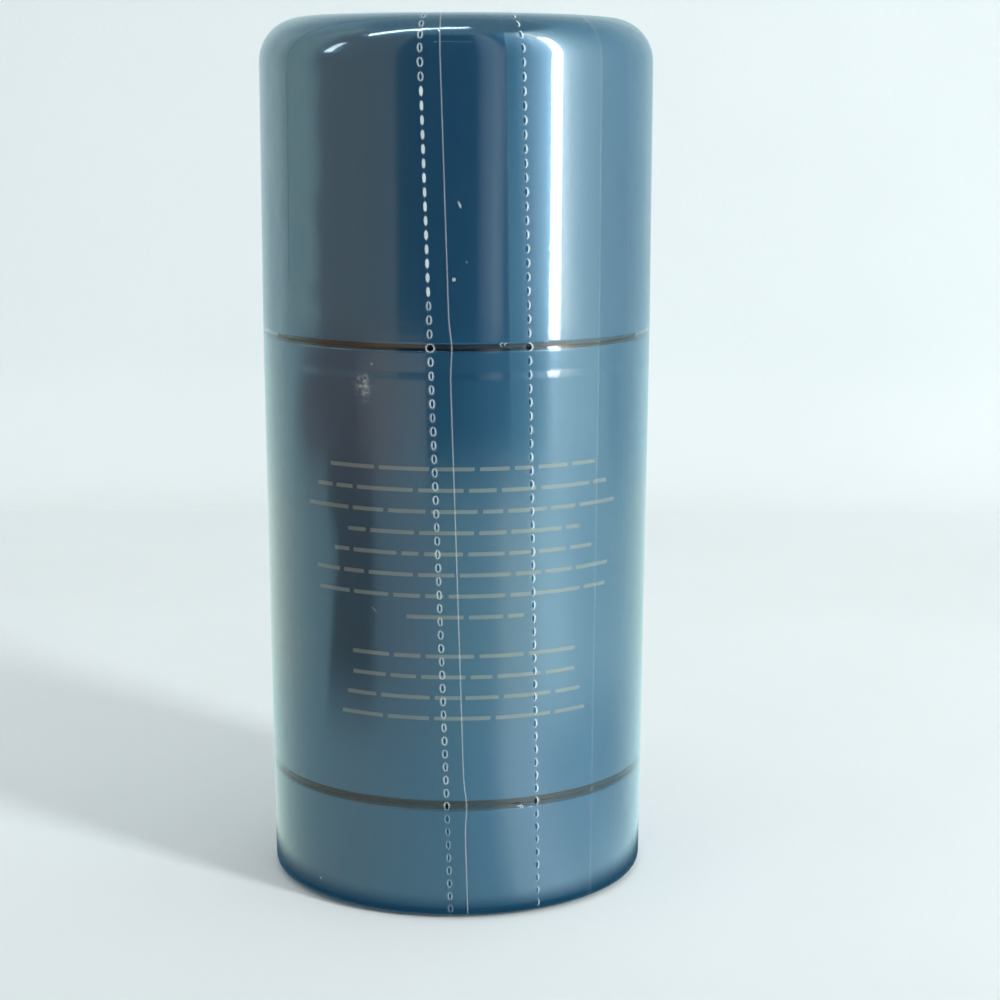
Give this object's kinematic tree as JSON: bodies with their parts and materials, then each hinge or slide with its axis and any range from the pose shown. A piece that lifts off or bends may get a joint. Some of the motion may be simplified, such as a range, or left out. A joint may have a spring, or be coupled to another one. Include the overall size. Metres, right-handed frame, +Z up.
{
  "type": "deodorant stick",
  "caption": "Round twist-up deodorant stick in a clear perforated shrink sleeve, with a pull-off cap, a base dial and a screw that raises the domed product.",
  "frame": {"origin": "centre of the base at floor level, on the pack's axis", "axes": "+Z up along the pack's axis, towards the cap; the front, with the two perforated rows, faces -Y"},
  "size_m": [0.048, 0.048, 0.1063],
  "materials": {
    "blue_plastic": "gloss",
    "neck_plastic": "satin",
    "white_plastic": "satin",
    "clear_film": "gloss",
    "deodorant_gel": "satin"
  },
  "bodies": {
    "barrel": {"barrel_shell": "blue_plastic", "inner_barrel": "neck_plastic", "barrel_film": "clear_film"},
    "cap": {"cap_shell": "blue_plastic", "cap_liner": "neck_plastic", "cap_film": "clear_film"},
    "dial": {"dial_shell": "blue_plastic", "hand_wheel": "neck_plastic", "lift_screw": "white_plastic", "dial_film": "clear_film"},
    "carriage": {"elevator": "white_plastic", "deodorant_stick": "deodorant_gel"}
  },
  "joints": [
    {"name": "cap_lift", "type": "slide", "parent": "barrel", "child": "cap", "axis": [0, 0, 1], "range_m": [0, 0.045]},
    {"name": "dial_turn", "type": "hinge", "parent": "barrel", "child": "dial", "pos_m": [0, 0, 0], "axis": [0, 0, -1], "range_deg": [0, 2160]},
    {"name": "elevator_rise", "type": "slide", "parent": "barrel", "child": "carriage", "axis": [0, 0, 1], "range_m": [0, 0.024]}
  ],
  "couplings": [
    {"joint": "elevator_rise", "follows": "dial_turn", "m_per_rad": 0.00063662}
  ]
}
